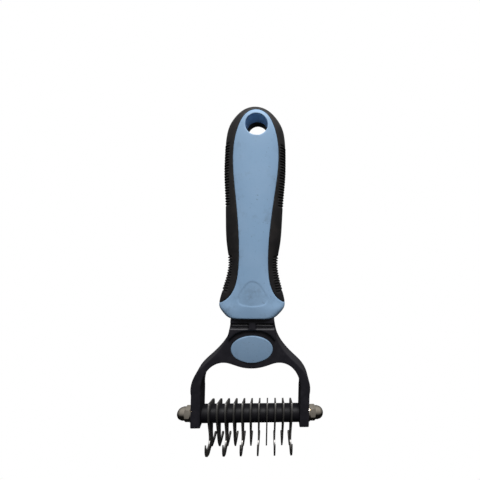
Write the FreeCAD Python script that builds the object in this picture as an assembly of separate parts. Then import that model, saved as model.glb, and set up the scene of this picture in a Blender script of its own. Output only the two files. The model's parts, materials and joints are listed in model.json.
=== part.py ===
import FreeCAD, Part
import math
import os

# Double-sided undercoat rake. Millimetres.
# X runs across the head, +Y points away from the user's thumb, +Z runs up the handle.
# The origin is the middle of the hang hole, so the blade axle lies below it on Z.

# ---- overall places ----
AXLE_Z = -161.0
HOLE_RADIUS = 6.0
HANDLE_CENTRE_X = -0.65

# ---- handle sections, top to bottom: height, half width, half depth and how square the oval is ----
HANDLE_SECTIONS = [
    (12.1, 2.4, 3.2, 2.3),
    (11.2, 5.0, 5.4, 2.3),
    (9.6, 8.1, 7.4, 2.3),
    (6.4, 11.5, 9.1, 2.3),
    (2.0, 14.5, 9.9, 2.3),
    (-4.0, 16.3, 10.2, 2.3),
    (-14.0, 17.0, 10.3, 2.3),
    (-25.0, 17.15, 10.35, 2.3),
    (-40.0, 16.3, 10.35, 2.3),
    (-55.0, 15.8, 10.3, 2.3),
    (-66.0, 14.9, 10.25, 2.3),
    (-75.0, 13.7, 10.2, 2.3),
    (-84.0, 14.9, 10.1, 2.3),
    (-92.0, 17.2, 9.95, 2.3),
    (-97.2, 18.45, 9.75, 2.4),
    (-99.6, 18.3, 9.6, 2.7),
    (-101.6, 17.0, 9.4, 3.1),
    (-103.4, 15.2, 9.2, 3.6),
    (-105.0, 12.9, 8.9, 4.0),
]
SECTION_POINTS = 28

# ---- front shell: half outline seen from the front, and where it parts from the grip ----
FRONT_OUTLINE = [
    (0.0, 8.6),
    (5.6, 6.2),
    (8.6, 1.7),
    (11.4, -7.0),
    (12.3, -16.0),
    (10.5, -38.0),
    (8.7, -54.0),
    (7.8, -70.0),
    (8.1, -79.0),
    (9.8, -88.0),
    (18.5, -97.5),
]
SEAM_DEPTH = -5.5
SEAM_TURN_Z = -80.0
BULB_SEAM_Z = -97.5
HOLE_SLEEVE_RADIUS = 8.2
HOLE_SLEEVE_BACK = 2.5

# ---- thumb dish in the front of the bulb: right half of its outline, and its depth ----
DISH_OUTLINE = [
    (0.0, -84.4),
    (3.8, -86.3),
    (6.3, -89.8),
    (8.0, -93.6),
    (7.0, -96.6),
    (3.7, -97.8),
    (0.0, -98.1),
]
DISH_DEPTH = 0.15

# ---- yoke: half outlines of its outer edge and of the gap between its arms ----
YOKE_HALF_DEPTH = 5.75
YOKE_OUTER = [
    (11.8, -104.0),
    (12.3, -110.0),
    (14.3, -117.3),
    (17.9, -123.0),
    (23.4, -128.8),
    (29.2, -134.6),
    (32.0, -139.8),
    (32.6, -148.0),
]
YOKE_INNER = [
    (0.0, -133.2),
    (7.0, -132.2),
    (15.4, -130.0),
    (21.5, -132.0),
    (25.6, -137.0),
    (27.4, -147.0),
]
ARM_OUTER = 32.6
ARM_INNER = 27.4
ARM_BOTTOM = -166.4
ARM_CORNER = 1.6

# ---- collar under the bulb, with its arched lower step ----
COLLAR_HALF_DEPTH = 7.2
COLLAR_TOP = -104.0
COLLAR_ARCH = [
    (0.0, -111.7),
    (4.6, -111.9),
    (9.2, -113.8),
    (12.6, -117.2),
]
COLLAR_HALF_WIDTH = 12.6
SLOT_TOP = -108.0
SLOT_BOTTOM = -110.9
SLOT_START = 1.9
SLOT_DEPTH = 1.7
BEAD_RADIUS = 1.0

# ---- tang that the handle is moulded round ----
TANG_HALF_WIDTH = 6.0
TANG_HALF_DEPTH = 3.4
TANG_TOP = -18.0
TANG_BOTTOM = -112.0
TANG_NOTCH = 1.6
TANG_NOTCH_PITCH = 14.0
TANG_NOTCH_COUNT = 5

# ---- oval inlay through the web ----
OVAL_HALF_WIDTH = 11.5
OVAL_HALF_HEIGHT = 7.4
OVAL_Z = -122.45
OVAL_CROWN = 0.7
OVAL_EDGE = 5.9

# ---- axle, washers and domed nuts (M4) ----
STUD_RADIUS = 2.0
BORE_RADIUS = 2.08
STUD_HALF_LENGTH = 39.4
WASHER_RADIUS = 4.5
WASHER_THICKNESS = 0.8
FACE_GAP = 0.04
NUT_FLATS = 7.2
NUT_HEX_HEIGHT = 3.2
NUT_DOME_RADIUS = 3.45
NUT_HEIGHT = 7.9
NUT_BORE_RADIUS = 2.06
NUT_BORE_DEPTH = 6.4
NUT_TIP_RADIUS = 3.3

# ---- blades and spacers ----
BLADE_COUNT = 11
BLADE_PITCH = 4.57
BLADE_THICKNESS = 0.8
SPACER_RADIUS = 4.7
SPACER_EDGE = 0.15

# Blade edges, as (depth, height) from the axle, each a smooth stretch between sharp corners.
BLADE_TOP = [(-5.3, 8.5), (7.1, 4.3)]
BLADE_BACK = [(7.1, 4.3), (9.9, 0.6), (8.6, -4.2), (6.5, -8.6), (6.2, -13.4), (7.1, -17.3)]
BACK_HOOK_INNER = [(7.1, -17.3), (8.2, -20.2), (10.6, -21.6), (14.2, -20.9)]
BACK_HOOK_OUTER = [(14.2, -20.9), (17.4, -22.4), (19.2, -24.7)]
BACK_SOLE = [(19.2, -24.7), (12.8, -24.7), (6.2, -23.6)]
FRONT_SOLE = [(6.2, -23.6), (3.6, -21.4), (-0.6, -21.4), (-4.7, -20.4)]
FRONT_HOOK_OUTER = [(-4.7, -20.4), (-9.0, -17.5), (-11.2, -13.2), (-10.8, -10.0)]
FRONT_HOOK_INNER = [(-10.8, -10.0), (-8.4, -14.2), (-4.6, -15.9), (-1.4, -14.6)]
BLADE_FRONT = [(-1.4, -14.6), (-2.4, -9.4), (-5.2, -3.0), (-5.3, 8.5)]
SHORT_TOE = [(6.2, -23.6), (3.4, -20.6), (0.6, -16.4), (-1.4, -11.8)]
SHORT_FRONT = [(-1.4, -11.8), (-2.8, -8.4), (-5.2, -3.0), (-5.3, 8.5)]

REACH = 40.0


def vec(x, y, z):
    return FreeCAD.Vector(x, y, z)


def spline(points):
    curve = Part.BSplineCurve()
    curve.interpolate(points)
    return curve.toShape()


def signed_power(value, power):
    return math.copysign(abs(value) ** power, value)


def mirror_x(shape):
    return shape.mirror(vec(0, 0, 0), vec(1, 0, 0))


def prism_along_y(half_outline, tail):
    """Full-depth prism whose right half follows a smooth outline, then straight tail points."""
    right = [vec(x, -REACH, z) for x, z in half_outline]
    left = [vec(-x, -REACH, z) for x, z in reversed(half_outline)]
    tail_right = [vec(x, -REACH, z) for x, z in tail]
    tail_left = [vec(-x, -REACH, z) for x, z in reversed(tail)]
    corners = [right[-1]] + tail_right + tail_left + [left[0]]
    edges = []
    if half_outline[0][0] == 0.0:
        edges.append(spline(left[:-1] + right))
    else:
        edges.append(spline(left))
        edges.append(Part.LineSegment(left[-1], right[0]).toShape())
        edges.append(spline(right))
    for start, end in zip(corners, corners[1:]):
        edges.append(Part.LineSegment(start, end).toShape())
    face = Part.Face(Part.Wire(edges))
    return face.extrude(vec(0, 2 * REACH, 0))


def round_prism_along_y(half_outline):
    """Full-depth prism with one closed smooth outline, symmetric about X = 0."""
    right = [vec(x, -REACH, z) for x, z in half_outline]
    left = [vec(-x, -REACH, z) for x, z in reversed(half_outline[1:-1])]
    curve = Part.BSplineCurve()
    curve.interpolate(Points=right + left, PeriodicFlag=True)
    face = Part.Face(Part.Wire([curve.toShape()]))
    return face.extrude(vec(0, 2 * REACH, 0))


def handle_section(z, half_width, half_depth, power):
    points = []
    for step in range(SECTION_POINTS):
        angle = 2 * math.pi * step / SECTION_POINTS
        x = HANDLE_CENTRE_X + half_width * signed_power(math.cos(angle), 2 / power)
        y = half_depth * signed_power(math.sin(angle), 2 / power)
        points.append(vec(x, y, z))
    curve = Part.BSplineCurve()
    curve.interpolate(Points=points, PeriodicFlag=True)
    return Part.Wire([curve.toShape()])


def make_handle_envelope(inset):
    """The whole handle as one closed solid, or the same a little smaller all round."""
    wires = [handle_section(z, w - inset, d - inset, power) for z, w, d, power in HANDLE_SECTIONS]
    return Part.makeLoft(wires, True, False)


def make_tang():
    height = TANG_TOP - TANG_BOTTOM
    tang = Part.makeBox(2 * TANG_HALF_WIDTH, 2 * TANG_HALF_DEPTH, height)
    tang.translate(vec(-TANG_HALF_WIDTH, -TANG_HALF_DEPTH, TANG_BOTTOM))
    for index in range(TANG_NOTCH_COUNT):
        z = TANG_TOP - TANG_NOTCH_PITCH * (index + 1)
        for side in (-1, 1):
            notch = Part.makeCylinder(
                TANG_NOTCH, 2 * REACH, vec(side * TANG_HALF_WIDTH, -REACH, z), vec(0, 1, 0)
            )
            tang = tang.cut(notch)
    return tang


def make_hang_hole():
    return Part.makeCylinder(HOLE_RADIUS, 2 * REACH, vec(0, -REACH, 0), vec(0, 1, 0))


def make_front_region():
    """Space that the front shell takes: its outline, back to the seam, and the whole bulb."""
    outline = prism_along_y(FRONT_OUTLINE, [(REACH, BULB_SEAM_Z), (REACH, -120.0)])
    side = [
        (-REACH, REACH),
        (SEAM_DEPTH, REACH),
        (SEAM_DEPTH, SEAM_TURN_Z),
        (0.0, BULB_SEAM_Z),
        (REACH, BULB_SEAM_Z),
        (REACH, -120.0),
        (-REACH, -120.0),
        (-REACH, REACH),
    ]
    face = Part.Face(Part.makePolygon([vec(-REACH, y, z) for y, z in side]))
    region = outline.common(face.extrude(vec(2 * REACH, 0, 0)))
    sleeve = Part.makeCylinder(
        HOLE_SLEEVE_RADIUS, HOLE_SLEEVE_BACK - SEAM_DEPTH, vec(0, SEAM_DEPTH, 0), vec(0, 1, 0)
    )
    return region.fuse(sleeve)


def make_thumb_dish():
    """What the dish takes out of the front: a step that follows the handle's own curve."""
    front_half = Part.makeBox(2 * REACH, REACH, 4 * REACH, vec(-REACH, -REACH, -3.5 * REACH))
    outline = round_prism_along_y(DISH_OUTLINE).common(front_half)
    return outline.cut(make_handle_envelope(DISH_DEPTH))


def is_foot_edge(edge):
    """The front and back lower edges of the arms, which run along X at the very bottom."""
    box = edge.BoundBox
    return box.ZMax < ARM_BOTTOM + 0.01 and box.YLength < 0.01


def make_yoke_body():
    outer = prism_along_y(YOKE_OUTER, [(ARM_OUTER, ARM_BOTTOM)])
    inner = prism_along_y(YOKE_INNER, [(ARM_INNER, ARM_BOTTOM - 5.0)])
    depth = YOKE_HALF_DEPTH
    slab = Part.makeBox(2 * REACH, 2 * depth, COLLAR_TOP - ARM_BOTTOM)
    slab.translate(vec(-REACH, -depth, ARM_BOTTOM))
    body = outer.common(slab).cut(inner)
    feet = [e for e in body.Edges if is_foot_edge(e)]
    return body.makeFillet(ARM_CORNER, feet)


def make_collar():
    prism = prism_along_y(COLLAR_ARCH, [(COLLAR_HALF_WIDTH, -130.0)])
    block = Part.makeBox(2 * COLLAR_HALF_WIDTH, 2 * COLLAR_HALF_DEPTH, COLLAR_TOP + 118.0)
    block.translate(vec(-COLLAR_HALF_WIDTH, -COLLAR_HALF_DEPTH, -118.0))
    outline = prism_along_y(YOKE_OUTER, [(ARM_OUTER, ARM_BOTTOM)])
    collar = block.common(outline).cut(prism)
    slot_height = SLOT_TOP - SLOT_BOTTOM
    middle = (SLOT_TOP + SLOT_BOTTOM) / 2
    for face in (-1, 1):
        for side in (-1, 1):
            slot = Part.makeBox(REACH, SLOT_DEPTH + 1.0, slot_height)
            x = SLOT_START if side > 0 else -SLOT_START - REACH
            y = COLLAR_HALF_DEPTH - SLOT_DEPTH if face > 0 else -COLLAR_HALF_DEPTH - 1.0
            slot.translate(vec(x, y, SLOT_BOTTOM))
            collar = collar.cut(slot)
    for face in (-1, 1):
        bead = Part.makeCylinder(
            BEAD_RADIUS,
            2 * (YOKE_OUTER[0][0] - 0.4),
            vec(-YOKE_OUTER[0][0] + 0.4, face * (COLLAR_HALF_DEPTH - SLOT_DEPTH), middle),
            vec(1, 0, 0),
        )
        collar = collar.fuse(bead)
    return collar


def make_oval(half_depth):
    ellipse = Part.Ellipse(vec(0, 0, 0), OVAL_HALF_WIDTH, OVAL_HALF_HEIGHT)
    face = Part.Face(Part.Wire([ellipse.toShape()]))
    face.rotate(vec(0, 0, 0), vec(1, 0, 0), 90)
    face.translate(vec(0, -half_depth, OVAL_Z))
    return face.extrude(vec(0, 2 * half_depth, 0))


def make_oval_inlay():
    crown_radius = (OVAL_HALF_WIDTH ** 2 + OVAL_CROWN ** 2) / (2 * OVAL_CROWN)
    top = OVAL_EDGE + OVAL_CROWN
    inlay = make_oval(top)
    for face in (-1, 1):
        centre = vec(0, face * (top - crown_radius), OVAL_Z)
        inlay = inlay.common(Part.makeSphere(crown_radius, centre))
    return inlay


def x_cylinder(radius, x_start, length):
    return Part.makeCylinder(radius, length, vec(x_start, 0, AXLE_Z), vec(1, 0, 0))


def make_yoke(handle):
    yoke = make_yoke_body().fuse(make_collar())
    yoke = yoke.cut(make_oval(REACH))
    yoke = yoke.cut(x_cylinder(BORE_RADIUS, -REACH, 2 * REACH))
    yoke = yoke.cut(handle)
    return yoke.fuse(make_tang()).removeSplitter()


def make_stud():
    stud = x_cylinder(STUD_RADIUS, -STUD_HALF_LENGTH, 2 * STUD_HALF_LENGTH)
    ends = [e for e in stud.Edges if isinstance(e.Curve, Part.Circle)]
    return stud.makeChamfer(0.4, ends)


def make_washer():
    start = ARM_OUTER + FACE_GAP
    disc = x_cylinder(WASHER_RADIUS, start, WASHER_THICKNESS)
    return disc.cut(x_cylinder(BORE_RADIUS, start, WASHER_THICKNESS))


def make_nut():
    start = ARM_OUTER + 2 * FACE_GAP + WASHER_THICKNESS
    corner = NUT_FLATS / math.sqrt(3)
    ring = []
    for step in range(7):
        angle = math.radians(60 * step + 6)
        ring.append(vec(start, corner * math.cos(angle), AXLE_Z + corner * math.sin(angle)))
    hexagon = Part.Face(Part.makePolygon(ring)).extrude(vec(NUT_HEX_HEIGHT, 0, 0))
    chamfer_length = NUT_HEX_HEIGHT + 3.0
    cone_base = corner + 0.55
    for flip in (False, True):
        if flip:
            origin = vec(start + NUT_HEX_HEIGHT - chamfer_length, 0, AXLE_Z)
            cone = Part.makeCone(
                cone_base + 1.3 * chamfer_length - 2.2, 3.6, chamfer_length, origin, vec(1, 0, 0)
            )
        else:
            origin = vec(start, 0, AXLE_Z)
            cone = Part.makeCone(
                3.6, cone_base + 1.3 * chamfer_length - 2.2, chamfer_length, origin, vec(1, 0, 0)
            )
        hexagon = hexagon.common(cone)
    dome_start = start + NUT_HEX_HEIGHT
    straight = NUT_HEIGHT - NUT_HEX_HEIGHT - NUT_TIP_RADIUS
    dome = x_cylinder(NUT_DOME_RADIUS, dome_start - 0.2, straight + 0.2)
    cap = Part.makeSphere(NUT_TIP_RADIUS, vec(dome_start + straight, 0, AXLE_Z))
    rim = Part.makeCone(
        NUT_DOME_RADIUS,
        NUT_TIP_RADIUS - 0.25,
        0.9,
        vec(dome_start + straight, 0, AXLE_Z),
        vec(1, 0, 0),
    )
    nut = hexagon.fuse([dome, cap, rim])
    nut = nut.cut(x_cylinder(NUT_BORE_RADIUS, start - 1.0, NUT_BORE_DEPTH + 1.0))
    return nut.removeSplitter()


def blade_stretch(points):
    places = [vec(-BLADE_THICKNESS / 2, y, AXLE_Z + z) for y, z in points]
    return spline(places)


def make_blade(is_long):
    stretches = [BLADE_TOP, BLADE_BACK, BACK_HOOK_INNER, BACK_HOOK_OUTER, BACK_SOLE]
    if is_long:
        stretches += [FRONT_SOLE, FRONT_HOOK_OUTER, FRONT_HOOK_INNER, BLADE_FRONT]
    else:
        stretches += [SHORT_TOE, SHORT_FRONT]
    wire = Part.Wire([blade_stretch(points) for points in stretches])
    plate = Part.Face(wire).extrude(vec(BLADE_THICKNESS, 0, 0))
    return plate.cut(x_cylinder(BORE_RADIUS, -1.0, 2.0))


def make_spacer(start, length):
    tube = x_cylinder(SPACER_RADIUS, start, length)
    rims = [e for e in tube.Edges if isinstance(e.Curve, Part.Circle)]
    tube = tube.makeChamfer(SPACER_EDGE, rims)
    return tube.cut(x_cylinder(BORE_RADIUS, start - 1.0, length + 2.0))


def save(name, shape):
    shape.exportStep(os.path.join("parts", name + ".step"))
    solids = len(shape.Solids)
    print(name, "solids", solids, "valid", shape.isValid(), "volume", round(shape.Volume, 1))


def main():
    os.makedirs("parts", exist_ok=True)
    envelope = make_handle_envelope(0.0)
    hang_hole = make_hang_hole()
    tang = make_tang()
    front_region = make_front_region()

    front = envelope.common(front_region).cut(hang_hole).cut(tang).cut(make_thumb_dish())
    grip = envelope.cut(front_region).cut(hang_hole).cut(tang)
    save("front_shell", front)
    save("grip_shell", grip)
    save("yoke_frame", make_yoke(envelope))
    save("oval_inlay", make_oval_inlay())
    save("axle_stud", make_stud())

    washer = make_washer()
    nut = make_nut()
    save("washer_right", washer)
    save("washer_left", mirror_x(washer))
    save("domed_nut_right", nut)
    save("domed_nut_left", mirror_x(nut))

    first = -BLADE_PITCH * (BLADE_COUNT - 1) / 2
    for index in range(BLADE_COUNT):
        is_long = index % 2 == 0
        blade = make_blade(is_long)
        blade.translate(vec(first + BLADE_PITCH * index, 0, 0))
        kind = "long" if is_long else "short"
        save("blade_%s_%02d" % (kind, index + 1), blade)

    gap = BLADE_PITCH - BLADE_THICKNESS
    for index in range(BLADE_COUNT - 1):
        start = first + BLADE_PITCH * index + BLADE_THICKNESS / 2
        save("spacer_%02d" % (index + 1), make_spacer(start, gap))
    end_start = -first + BLADE_THICKNESS / 2
    end_spacer = make_spacer(end_start, ARM_INNER - FACE_GAP - end_start)
    save("end_spacer_right", end_spacer)
    save("end_spacer_left", mirror_x(end_spacer))


main()
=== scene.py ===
import json
import math

import bmesh
import bpy
import numpy as np
from mathutils import Matrix, Vector
from mathutils.bvhtree import BVHTree


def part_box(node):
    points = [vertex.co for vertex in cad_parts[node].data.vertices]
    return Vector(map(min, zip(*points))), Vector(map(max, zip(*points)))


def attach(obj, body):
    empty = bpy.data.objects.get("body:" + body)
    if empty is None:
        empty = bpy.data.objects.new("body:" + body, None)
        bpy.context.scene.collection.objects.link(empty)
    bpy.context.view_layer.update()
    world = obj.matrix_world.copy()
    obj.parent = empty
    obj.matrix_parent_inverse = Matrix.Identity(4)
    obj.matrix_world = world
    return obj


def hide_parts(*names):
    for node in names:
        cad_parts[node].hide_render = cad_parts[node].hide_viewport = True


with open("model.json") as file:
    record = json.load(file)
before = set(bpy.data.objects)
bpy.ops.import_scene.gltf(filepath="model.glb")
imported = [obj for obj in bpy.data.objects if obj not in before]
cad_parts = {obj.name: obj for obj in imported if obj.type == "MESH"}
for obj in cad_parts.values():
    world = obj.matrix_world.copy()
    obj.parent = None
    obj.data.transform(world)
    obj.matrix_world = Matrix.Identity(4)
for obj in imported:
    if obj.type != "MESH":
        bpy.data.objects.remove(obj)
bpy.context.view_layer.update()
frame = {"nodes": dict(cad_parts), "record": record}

MM = 0.001
NODES = frame["nodes"]
BODY_OF = {}
for body_name, members in frame["record"]["behaviour"]["bodies"].items():
    for member in members:
        BODY_OF[member] = body_name

stud_low, stud_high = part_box("axle_stud")
AXLE = (stud_low + stud_high) / 2

# ---------------------------------------------------------------- materials

# Sockets of the Mix node that carry colours.
MIX_FIRST = 6
MIX_SECOND = 7
MIX_RESULT = 2

# Worn spot in the thumb dish of the handle: its middle in metres, and its radius.
THUMB_MARK = (-0.0008, -0.0105, -0.0915)
THUMB_MARK_RADIUS = 8.0 * MM


class Shader:
    """A Principled material with short calls for its nodes. Lengths are in metres."""

    def __init__(self, name):
        self.material = bpy.data.materials.new(name)
        self.material.use_nodes = True
        self.tree = self.material.node_tree
        self.bsdf = self.tree.nodes["Principled BSDF"]
        coordinates = self.node("ShaderNodeTexCoord")
        self.place = coordinates.outputs["Object"]

    def node(self, kind, **values):
        made = self.tree.nodes.new(kind)
        for key, value in values.items():
            setattr(made, key, value)
        return made

    def link(self, source, target):
        self.tree.links.new(source, target)

    def set(self, **values):
        """Uniform values of the Principled sockets, with _ for each space in a socket's name."""
        for key, value in values.items():
            self.bsdf.inputs[key.replace("_", " ")].default_value = value

    def noise(self, scale, detail=3.0, roughness=0.5, stretch=(1, 1, 1)):
        """Noise fixed to the object, with about scale features a metre."""
        mapping = self.node("ShaderNodeMapping")
        mapping.inputs["Scale"].default_value = stretch
        self.link(self.place, mapping.inputs["Vector"])
        texture = self.node("ShaderNodeTexNoise")
        texture.inputs["Scale"].default_value = scale
        texture.inputs["Detail"].default_value = detail
        texture.inputs["Roughness"].default_value = roughness
        self.link(mapping.outputs["Vector"], texture.inputs["Vector"])
        return texture.outputs["Fac"]

    def span(self, source, low, high, to_low=0.0, to_high=1.0):
        """The source with its range low to high spread over to_low to to_high, and clamped there."""
        mapped = self.node("ShaderNodeMapRange")
        mapped.inputs["From Min"].default_value = low
        mapped.inputs["From Max"].default_value = high
        mapped.inputs["To Min"].default_value = to_low
        mapped.inputs["To Max"].default_value = to_high
        self.link(source, mapped.inputs["Value"])
        return mapped.outputs["Result"]

    def mix(self, factor, first, second):
        """The first colour where the factor is 0 and the second where it is 1."""
        mixed = self.node("ShaderNodeMix", data_type="RGBA")
        self.link(factor, mixed.inputs["Factor"])
        for socket, colour in ((MIX_FIRST, first), (MIX_SECOND, second)):
            if hasattr(colour, "is_output"):
                self.link(colour, mixed.inputs[socket])
            else:
                mixed.inputs[socket].default_value = colour
        return mixed.outputs[MIX_RESULT]

    def near(self, centre, reach):
        """1 at a place on the object, falling to 0 at reach from it."""
        distance = self.node("ShaderNodeVectorMath", operation="DISTANCE")
        self.link(self.place, distance.inputs[0])
        distance.inputs[1].default_value = centre
        return self.span(distance.outputs["Value"], reach, 0.0)

    def product(self, first, second):
        multiply = self.node("ShaderNodeMath", operation="MULTIPLY")
        self.link(first, multiply.inputs[0])
        self.link(second, multiply.inputs[1])
        return multiply.outputs["Value"]

    def surface(self, colour, roughness, relief, strength, depth):
        """Connect the colour, the roughness and a fine relief, which is depth deep at strength 1."""
        bump = self.node("ShaderNodeBump")
        bump.inputs["Strength"].default_value = strength
        bump.inputs["Distance"].default_value = depth
        self.link(relief, bump.inputs["Height"])
        self.link(colour, self.bsdf.inputs["Base Color"])
        self.link(roughness, self.bsdf.inputs["Roughness"])
        self.link(bump.outputs["Normal"], self.bsdf.inputs["Normal"])


def grey(value):
    return (value, value, value, 1.0)


def tinted(level, red, green, blue):
    """A colour of the given level, with its channels in the given proportions."""
    return (level * red, level * green, level * blue, 1.0)


def blue_plastic(name, level):
    """Light blue moulded plastic: cloudy, with smudges, dark specks and the worn spot of the thumb."""
    shader = Shader(name)
    base = tinted(level, 0.275, 0.437, 0.643)
    pale = tinted(level, 0.302, 0.461, 0.665)
    dirt = (0.11, 0.13, 0.15, 1.0)
    clouds = shader.span(shader.noise(60.0, detail=4.0), 0.35, 0.7)
    smudges = shader.span(shader.noise(170.0, detail=5.0, roughness=0.65), 0.55, 0.78, to_high=0.3)
    specks = shader.span(shader.noise(900.0, detail=2.0, roughness=0.4), 0.69, 0.76, to_high=0.4)
    patches = shader.span(shader.noise(420.0, detail=4.0, roughness=0.6), 0.35, 0.68, 0.04, 0.42)
    thumb = shader.product(shader.near(THUMB_MARK, THUMB_MARK_RADIUS), patches)
    colour = shader.mix(clouds, base, pale)
    for layer in (smudges, specks, thumb):
        colour = shader.mix(layer, colour, dirt)
    roughness = shader.span(shader.noise(240.0), 0.3, 0.7, 0.5, 0.62)
    grain = shader.noise(2600.0, detail=2.0)
    shader.surface(colour, roughness, grain, strength=0.25, depth=0.06 * MM)
    shader.set(Specular_IOR_Level=0.4, IOR=1.46)
    return shader.material


def black_rubber():
    """Soft black rubber with a film of dust."""
    shader = Shader("black_grip_rubber")
    base = (0.0085, 0.0078, 0.0088, 1.0)
    dusty = (0.026, 0.022, 0.0205, 1.0)
    dust = shader.span(shader.noise(120.0, detail=5.0, roughness=0.6), 0.42, 0.75, to_high=0.8)
    roughness = shader.span(shader.noise(300.0), 0.3, 0.7, 0.52, 0.68)
    grain = shader.noise(1800.0)
    colour = shader.mix(dust, base, dusty)
    shader.surface(colour, roughness, grain, strength=0.35, depth=0.08 * MM)
    shader.set(Specular_IOR_Level=0.42)
    return shader.material


def black_plastic(name, level, roughness, grain_scale, specular):
    """Black moulded plastic, paler where it is worn."""
    shader = Shader(name)
    base = tinted(level, 1.0, 0.95, 1.3)
    worn = tinted(level, 2.2, 2.05, 2.6)
    wear = shader.span(shader.noise(220.0, detail=5.0, roughness=0.65), 0.45, 0.8, to_high=0.6)
    uneven = shader.span(shader.noise(350.0, detail=4.0), 0.3, 0.7, roughness - 0.05, roughness + 0.07)
    grain = shader.noise(grain_scale, detail=2.0)
    colour = shader.mix(wear, base, worn)
    shader.surface(colour, uneven, grain, strength=0.3, depth=0.05 * MM)
    shader.set(Specular_IOR_Level=specular)
    return shader.material


def steel(name, level, roughness, scale, stretch):
    """Ground steel with streaks, squeezed along the axes that stretch names, and a few stains."""
    shader = Shader(name)
    base = tinted(level, 1.0, 0.975, 0.95)
    dark = tinted(level, 0.55, 0.53, 0.51)
    streaks = shader.noise(scale, detail=4.0, roughness=0.6, stretch=stretch)
    stains = shader.span(shader.noise(260.0, detail=4.0, roughness=0.6), 0.55, 0.75, to_high=0.35)
    colour = shader.mix(shader.span(streaks, 0.35, 0.7), dark, base)
    colour = shader.mix(stains, colour, dark)
    uneven = shader.span(streaks, 0.3, 0.7, roughness + 0.1, roughness - 0.05)
    shader.surface(colour, uneven, streaks, strength=0.2, depth=0.03 * MM)
    shader.set(Metallic=1.0)
    return shader.material


def nickel():
    """Bright nickel plate with patches of tarnish."""
    shader = Shader("nickel_plate")
    bright = (0.66, 0.60, 0.51, 1.0)
    tarnish = (0.30, 0.26, 0.20, 1.0)
    patches = shader.span(shader.noise(330.0, detail=5.0, roughness=0.65), 0.5, 0.78, to_high=0.6)
    roughness = shader.span(shader.noise(500.0, detail=4.0), 0.35, 0.7, 0.1, 0.22)
    ripple = shader.noise(700.0)
    colour = shader.mix(patches, bright, tarnish)
    shader.surface(colour, roughness, ripple, strength=0.15, depth=0.03 * MM)
    shader.set(Metallic=1.0)
    return shader.material


BLUE = blue_plastic("blue_soft_plastic", level=1.0)
# The oval inlay is the handle's blue plastic at 0.72 of its level. This is painted shade, for the
# light falling off below the bulb of the handle.
BLUE_INLAY_PAINTED_SHADE = blue_plastic("blue_inlay_plastic_painted_shade", level=0.72)
RUBBER = black_rubber()
FRAME_PLASTIC = black_plastic(
    "black_frame_plastic", level=0.0135, roughness=0.45, grain_scale=2200.0, specular=0.5
)
SPACER_PLASTIC = black_plastic(
    "black_spacer_plastic", level=0.0045, roughness=0.5, grain_scale=1500.0, specular=0.16
)
BLADE_STEEL = steel("blade_steel", level=0.38, roughness=0.48, scale=380.0, stretch=(1.0, 1.0, 9.0))
STUD_STEEL = steel("threaded_steel", level=0.45, roughness=0.3, scale=500.0, stretch=(1.0, 4.0, 4.0))
NICKEL = nickel()

# ---------------------------------------------------------------- piece helpers

WELD_DISTANCE = 0.002 * MM
SMOOTH_FACTOR = 0.5
BEVEL_SEGMENTS = 2
BEVEL_ANGLE = math.radians(35)
SHARP_ANGLE = math.radians(40)


def add_object(name, data):
    made = bpy.data.objects.new(name, data)
    bpy.context.scene.collection.objects.link(made)
    return made


def cad_copy(node, name):
    """A welded copy of a CAD node's mesh, as a new object."""
    mesh = NODES[node].data.copy()
    mesh.name = name
    mesh.materials.clear()
    work = bmesh.new()
    work.from_mesh(mesh)
    bmesh.ops.remove_doubles(work, verts=work.verts, dist=WELD_DISTANCE)
    work.to_mesh(mesh)
    work.free()
    return add_object(name, mesh)


def bake_modifiers(piece):
    """Put the result of a piece's modifiers in its mesh, and take them off."""
    bpy.context.view_layer.update()
    depsgraph = bpy.context.evaluated_depsgraph_get()
    baked = bpy.data.meshes.new_from_object(piece.evaluated_get(depsgraph))
    piece.modifiers.clear()
    old = piece.data
    piece.data = baked
    bpy.data.meshes.remove(old)


def dress(piece, node, material):
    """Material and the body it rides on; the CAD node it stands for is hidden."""
    piece.data.materials.clear()
    piece.data.materials.append(material)
    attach(piece, BODY_OF[node])
    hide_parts(node)


def moulded(node, name, voxel, smoothing):
    """A CAD node with every edge softened, as moulding leaves it.

    It is rebuilt from voxels of the given size in mm, and smoothed that many times.
    """
    piece = cad_copy(node, name)
    remesh = piece.modifiers.new("remesh", "REMESH")
    remesh.mode = "VOXEL"
    remesh.voxel_size = voxel * MM
    remesh.adaptivity = 0.0
    smooth = piece.modifiers.new("smooth", "SMOOTH")
    smooth.factor = SMOOTH_FACTOR
    smooth.iterations = smoothing
    bake_modifiers(piece)
    piece.data.shade_smooth()
    return piece


def machined(node, name, edge):
    """A CAD node with a small bevel on its sharp edges, edge mm wide."""
    piece = cad_copy(node, name)
    bevel = piece.modifiers.new("bevel", "BEVEL")
    bevel.limit_method = "ANGLE"
    bevel.angle_limit = BEVEL_ANGLE
    bevel.width = edge * MM
    bevel.segments = BEVEL_SEGMENTS
    bevel.use_clamp_overlap = True
    bake_modifiers(piece)
    piece.data.shade_smooth()
    piece.data.set_sharp_from_angle(angle=SHARP_ANGLE)
    return piece


# ---------------------------------------------------------------- handle

front = moulded("front_shell", "front_shell_moulded", voxel=0.3, smoothing=5)
dress(front, "front_shell", BLUE)

grip = moulded("grip_shell", "grip_moulded", voxel=0.33, smoothing=3)
dress(grip, "grip_shell", RUBBER)

# Ribs of the grip, in millimetres. Each group has the Z of its top rib, its pitch, its number of ribs
# and the height of a rib.
RIB_GROUPS = [(-10.6, 1.52, 22, 0.2), (-72.4, 1.45, 13, 0.3)]
RIB_HALF_SPAN = 6.9
RIB_STEPS = 18

# Section of a rib: half its width as part of the pitch, and how far it stands out from the grip there.
# The crest stands out by this part of the rib's height.
RIB_ROOT = (0.35, -0.9)
RIB_SHOULDER = (0.27, -0.1)
RIB_CREST = (0.13, 0.85)

# The higher the power, the shorter the taper of a rib. Its ends sink into the grip.
RIB_TAPER_POWER = 10
RIB_END_SINK = 0.15

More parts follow.
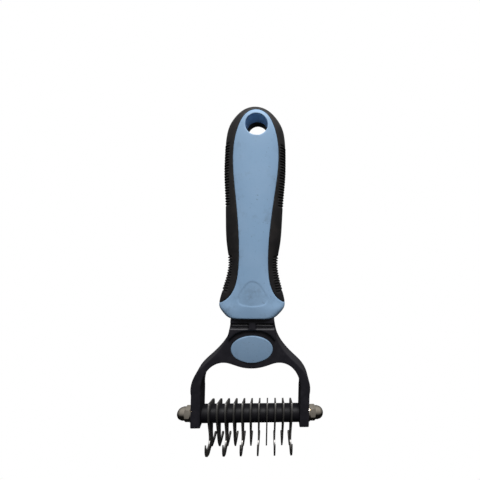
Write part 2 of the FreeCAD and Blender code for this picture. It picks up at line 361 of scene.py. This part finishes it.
# Bed of the ribs: its depth, how far it goes on past the outer ribs, and the widths of its slopes.
RIB_BED_DEPTH = 0.55
RIB_BED_MARGIN = 0.4
RIB_BED_SLOPE = 1.2
RIB_BED_HALF_SPAN = RIB_HALF_SPAN + 0.1
RIB_BED_SIDE_SLOPE = 0.9

# A place of the grip faces sideways when its normal's X is beyond this.
SIDE_FACING = 0.4

# Distance from the middle at which the search for the grip's side starts, well outside it.
RAY_START = 50.0


def grip_surface():
    """Ray target of the CAD grip, to lay the ribs on."""
    work = bmesh.new()
    work.from_mesh(NODES["grip_shell"].data)
    tree = BVHTree.FromBMesh(work)
    work.free()
    return tree


def smooth_step(values, start, end):
    """0 up to start, 1 from end on, and an even curve between."""
    part = np.clip((values - start) / (end - start), 0.0, 1.0)
    return part * part * (3 - 2 * part)


def lower_rib_beds(piece):
    """A shallow bed along both sides of the grip, which the ridges stand in."""
    vertices = piece.data.vertices
    places = np.empty(3 * len(vertices))
    normals = np.empty(3 * len(vertices))
    vertices.foreach_get("co", places)
    vertices.foreach_get("normal", normals)
    places = places.reshape(-1, 3)
    normals = normals.reshape(-1, 3)
    x, y, z = (places / MM).T
    outside = (np.abs(normals[:, 0]) > SIDE_FACING) & (normals[:, 0] * x > 0)
    across = 1 - smooth_step(np.abs(y), RIB_BED_HALF_SPAN - RIB_BED_SIDE_SLOPE, RIB_BED_HALF_SPAN)
    along = np.zeros(len(vertices))
    for top, pitch, count, _ in RIB_GROUPS:
        foot = top - pitch * (count - 1) - RIB_BED_MARGIN
        head = top + RIB_BED_MARGIN
        rise = smooth_step(z, foot - RIB_BED_SLOPE, foot)
        along += rise * (1 - smooth_step(z, head, head + RIB_BED_SLOPE))
    depth = RIB_BED_DEPTH * MM * across * along * outside
    places -= normals * depth[:, None]
    vertices.foreach_set("co", places.ravel())
    piece.data.update()


def add_rib(work, surface, side, z, pitch, height):
    """One tapering ridge across the side of the grip, as a closed bar sunk a little into it."""
    half_profile = [
        (RIB_ROOT[0] * pitch, RIB_ROOT[1]),
        (RIB_SHOULDER[0] * pitch, RIB_SHOULDER[1]),
        (RIB_CREST[0] * pitch, RIB_CREST[1] * height),
    ]
    profile = [(-along, out) for along, out in half_profile] + half_profile[::-1]
    rings = []
    for step in range(RIB_STEPS + 1):
        across = -1 + 2 * step / RIB_STEPS
        origin = Vector((side * RAY_START * MM, across * RIB_HALF_SPAN * MM, z * MM))
        spot, normal, _, _ = surface.ray_cast(origin, Vector((-side, 0, 0)))
        fade = 1 - abs(across) ** RIB_TAPER_POWER
        ring = []
        for along, out in profile:
            lift = out * fade - RIB_END_SINK * (1 - fade)
            place = spot + normal * lift * MM + Vector((0, 0, along * MM))
            ring.append(work.verts.new(place))
        rings.append(ring)
    for first, second in zip(rings, rings[1:]):
        for index in range(len(profile)):
            after = (index + 1) % len(profile)
            work.faces.new((first[index], first[after], second[after], second[index]))
    work.faces.new(rings[0])
    work.faces.new(list(reversed(rings[-1])))


def add_ribs(piece):
    """All ribs of both sides, joined into the mesh of the grip."""
    surface = grip_surface()
    work = bmesh.new()
    for side in (-1, 1):
        for top, pitch, count, height in RIB_GROUPS:
            for index in range(count):
                add_rib(work, surface, side, top - pitch * index, pitch, height)
    bmesh.ops.recalc_face_normals(work, faces=work.faces)
    for face in work.faces:
        face.smooth = True
    work.from_mesh(piece.data)
    work.to_mesh(piece.data)
    work.free()


lower_rib_beds(grip)
add_ribs(grip)

# ---------------------------------------------------------------- yoke

yoke = moulded("yoke_frame", "yoke_moulded", voxel=0.28, smoothing=7)
dress(yoke, "yoke_frame", FRAME_PLASTIC)

inlay = moulded("oval_inlay", "oval_inlay_moulded", voxel=0.3, smoothing=2)
dress(inlay, "oval_inlay", BLUE_INLAY_PAINTED_SHADE)

# ---------------------------------------------------------------- head

BLADE_EDGE = 0.14
SPACER_EDGE = 0.05
PLATED_EDGE = 0.1

for node in sorted(NODES):
    if node.startswith("blade_"):
        blade = machined(node, node + "_ground", BLADE_EDGE)
        dress(blade, node, BLADE_STEEL)
    if "spacer_" in node:
        spacer = machined(node, node + "_turned", SPACER_EDGE)
        dress(spacer, node, SPACER_PLASTIC)
    if node.startswith("domed_nut") or node.startswith("washer"):
        fastener = machined(node, node + "_plated", PLATED_EDGE)
        dress(fastener, node, NICKEL)

# Thread of the stud, in millimetres, and the length and depth of the taper at the stud's ends.
THREAD_PITCH = 0.7
THREAD_DEPTH = 0.40
THREAD_TAPER = 0.5

# Points of the thread in one turn, and rings in one pitch.
THREAD_ROUND = 28
THREAD_PER_PITCH = 8

# The cut of the thread rises from its crest as STEEPNESS times distance to the POWER, up to 1.
THREAD_STEEPNESS = 2.4
THREAD_POWER = 0.9


def threaded_rod(name):
    """The stud with its M4 thread: rings whose radius follows a helix, and falls towards both ends."""
    half = (stud_high.x - stud_low.x) / 2
    radius = (stud_high.z - stud_low.z) / 2
    rings = int(2 * half / MM / THREAD_PITCH * THREAD_PER_PITCH)
    verts = []
    for ring in range(rings + 1):
        x = -half + 2 * half * ring / rings
        turn = x / MM / THREAD_PITCH
        taper = THREAD_TAPER * (1 - min(1.0, (half - abs(x)) / (THREAD_TAPER * MM)))
        for step in range(THREAD_ROUND):
            from_crest = abs((turn + step / THREAD_ROUND) % 1.0 - 0.5)
            cut = min(1.0, THREAD_STEEPNESS * from_crest**THREAD_POWER)
            reach = radius - (THREAD_DEPTH * cut + taper) * MM
            angle = 2 * math.pi * step / THREAD_ROUND
            verts.append((x, AXLE.y + reach * math.cos(angle), AXLE.z + reach * math.sin(angle)))
    faces = []
    for ring in range(rings):
        for step in range(THREAD_ROUND):
            after = (step + 1) % THREAD_ROUND
            start = ring * THREAD_ROUND
            end = start + THREAD_ROUND
            faces.append((start + step, start + after, end + after, end + step))
    faces.append(tuple(reversed(range(THREAD_ROUND))))
    faces.append(tuple(range(rings * THREAD_ROUND, (rings + 1) * THREAD_ROUND)))
    mesh = bpy.data.meshes.new(name)
    mesh.from_pydata(verts, [], faces)
    work = bmesh.new()
    work.from_mesh(mesh)
    bmesh.ops.recalc_face_normals(work, faces=work.faces)
    work.to_mesh(mesh)
    work.free()
    mesh.shade_smooth()
    return add_object(name, mesh)


dress(threaded_rod("axle_stud_threaded"), "axle_stud", STUD_STEEL)

# ---------------------------------------------------------------- stage, light, camera

BACKDROP_RADIUS = 3.0

# The sky is dark below and light above. Each end of its ramp has its height, from 0 straight down to
# 1 straight up, and its lightness there.
SKY_DARK = (0.35, 0.015)
SKY_LIGHT = (0.95, 0.9)
SKY_STRENGTH = 0.5

# The turn is about the vertical and the lean is about the line of sight. The sideways shift of the
# lens brings the object into the middle of the frame without turning the camera any further.
CAMERA_LENS = 20.26
CAMERA_SHIFT_X = -0.0948
CAMERA_TURN = math.radians(2.95)
CAMERA_LEAN = math.radians(1.28)
CAMERA_PLACE = Vector((0.0095, AXLE.y - 0.155, AXLE.z + 0.0991))


def make_backdrop():
    """A white surround that only the camera sees, so that it doesn't light the object."""
    mesh = bpy.data.meshes.new("backdrop")
    work = bmesh.new()
    bmesh.ops.create_uvsphere(work, u_segments=32, v_segments=16, radius=BACKDROP_RADIUS)
    work.to_mesh(mesh)
    work.free()
    backdrop = add_object("backdrop", mesh)
    backdrop.visible_diffuse = False
    backdrop.visible_glossy = False
    backdrop.visible_transmission = False
    backdrop.visible_volume_scatter = False
    backdrop.visible_shadow = False
    material = bpy.data.materials.new("backdrop_white")
    material.use_nodes = True
    bsdf = material.node_tree.nodes["Principled BSDF"]
    bsdf.inputs["Base Color"].default_value = grey(0.0)
    bsdf.inputs["Specular IOR Level"].default_value = 0.0
    bsdf.inputs["Emission Color"].default_value = grey(1.0)
    bsdf.inputs["Emission Strength"].default_value = 1.0
    mesh.materials.append(material)


def make_world():
    """A soft grey sky that grows lighter with height."""
    world = bpy.data.worlds.new("studio")
    bpy.context.scene.world = world
    world.use_nodes = True
    tree = world.node_tree
    background = tree.nodes["Background"]
    coordinates = tree.nodes.new("ShaderNodeTexCoord")
    split = tree.nodes.new("ShaderNodeSeparateXYZ")
    ramp = tree.nodes.new("ShaderNodeValToRGB")
    shift = tree.nodes.new("ShaderNodeMapRange")
    shift.inputs["From Min"].default_value = -1.0
    shift.inputs["From Max"].default_value = 1.0
    tree.links.new(coordinates.outputs["Generated"], split.inputs["Vector"])
    tree.links.new(split.outputs["Z"], shift.inputs["Value"])
    tree.links.new(shift.outputs["Result"], ramp.inputs["Fac"])
    for element, (position, level) in zip(ramp.color_ramp.elements, (SKY_DARK, SKY_LIGHT)):
        element.position = position
        element.color = grey(level)
    tree.links.new(ramp.outputs["Color"], background.inputs["Color"])
    background.inputs["Strength"].default_value = SKY_STRENGTH


def area_light(name, place, target, width, height, power):
    """A rectangular lamp that faces its target. Metres and watts."""
    data = bpy.data.lights.new(name, "AREA")
    data.shape = "RECTANGLE"
    data.size = width
    data.size_y = height
    data.energy = power
    lamp = add_object(name, data)
    lamp.location = place
    lamp.rotation_mode = "QUATERNION"
    lamp.rotation_quaternion = (Vector(target) - Vector(place)).to_track_quat("-Z", "Y")


def make_camera():
    """A close wide-angle view of the front, level with the lower half of the handle."""
    data = bpy.data.cameras.new("camera")
    data.sensor_width = 36.0
    data.lens = CAMERA_LENS
    data.shift_x = CAMERA_SHIFT_X
    data.clip_start = 0.005
    data.clip_end = 20.0
    camera = add_object("camera", data)
    level = Vector((math.cos(CAMERA_TURN), -math.sin(CAMERA_TURN), 0))
    right = level * math.cos(CAMERA_LEAN) + Vector((0, 0, math.sin(CAMERA_LEAN)))
    up = Vector((0, 0, math.cos(CAMERA_LEAN))) - level * math.sin(CAMERA_LEAN)
    rotation = Matrix((right, up, right.cross(up))).transposed()
    camera.matrix_world = Matrix.LocRotScale(CAMERA_PLACE, rotation, None)
    bpy.context.scene.camera = camera


make_backdrop()
make_world()
area_light("key", (0.05, -0.60, 0.98), (0, 0, -0.08), width=0.6, height=0.4, power=17.5)
area_light("fill", (0.0, -0.6, 0.22), (0, 0, -0.12), width=0.25, height=0.12, power=0.06)
make_camera()
bpy.context.scene.view_settings.view_transform = "Standard"
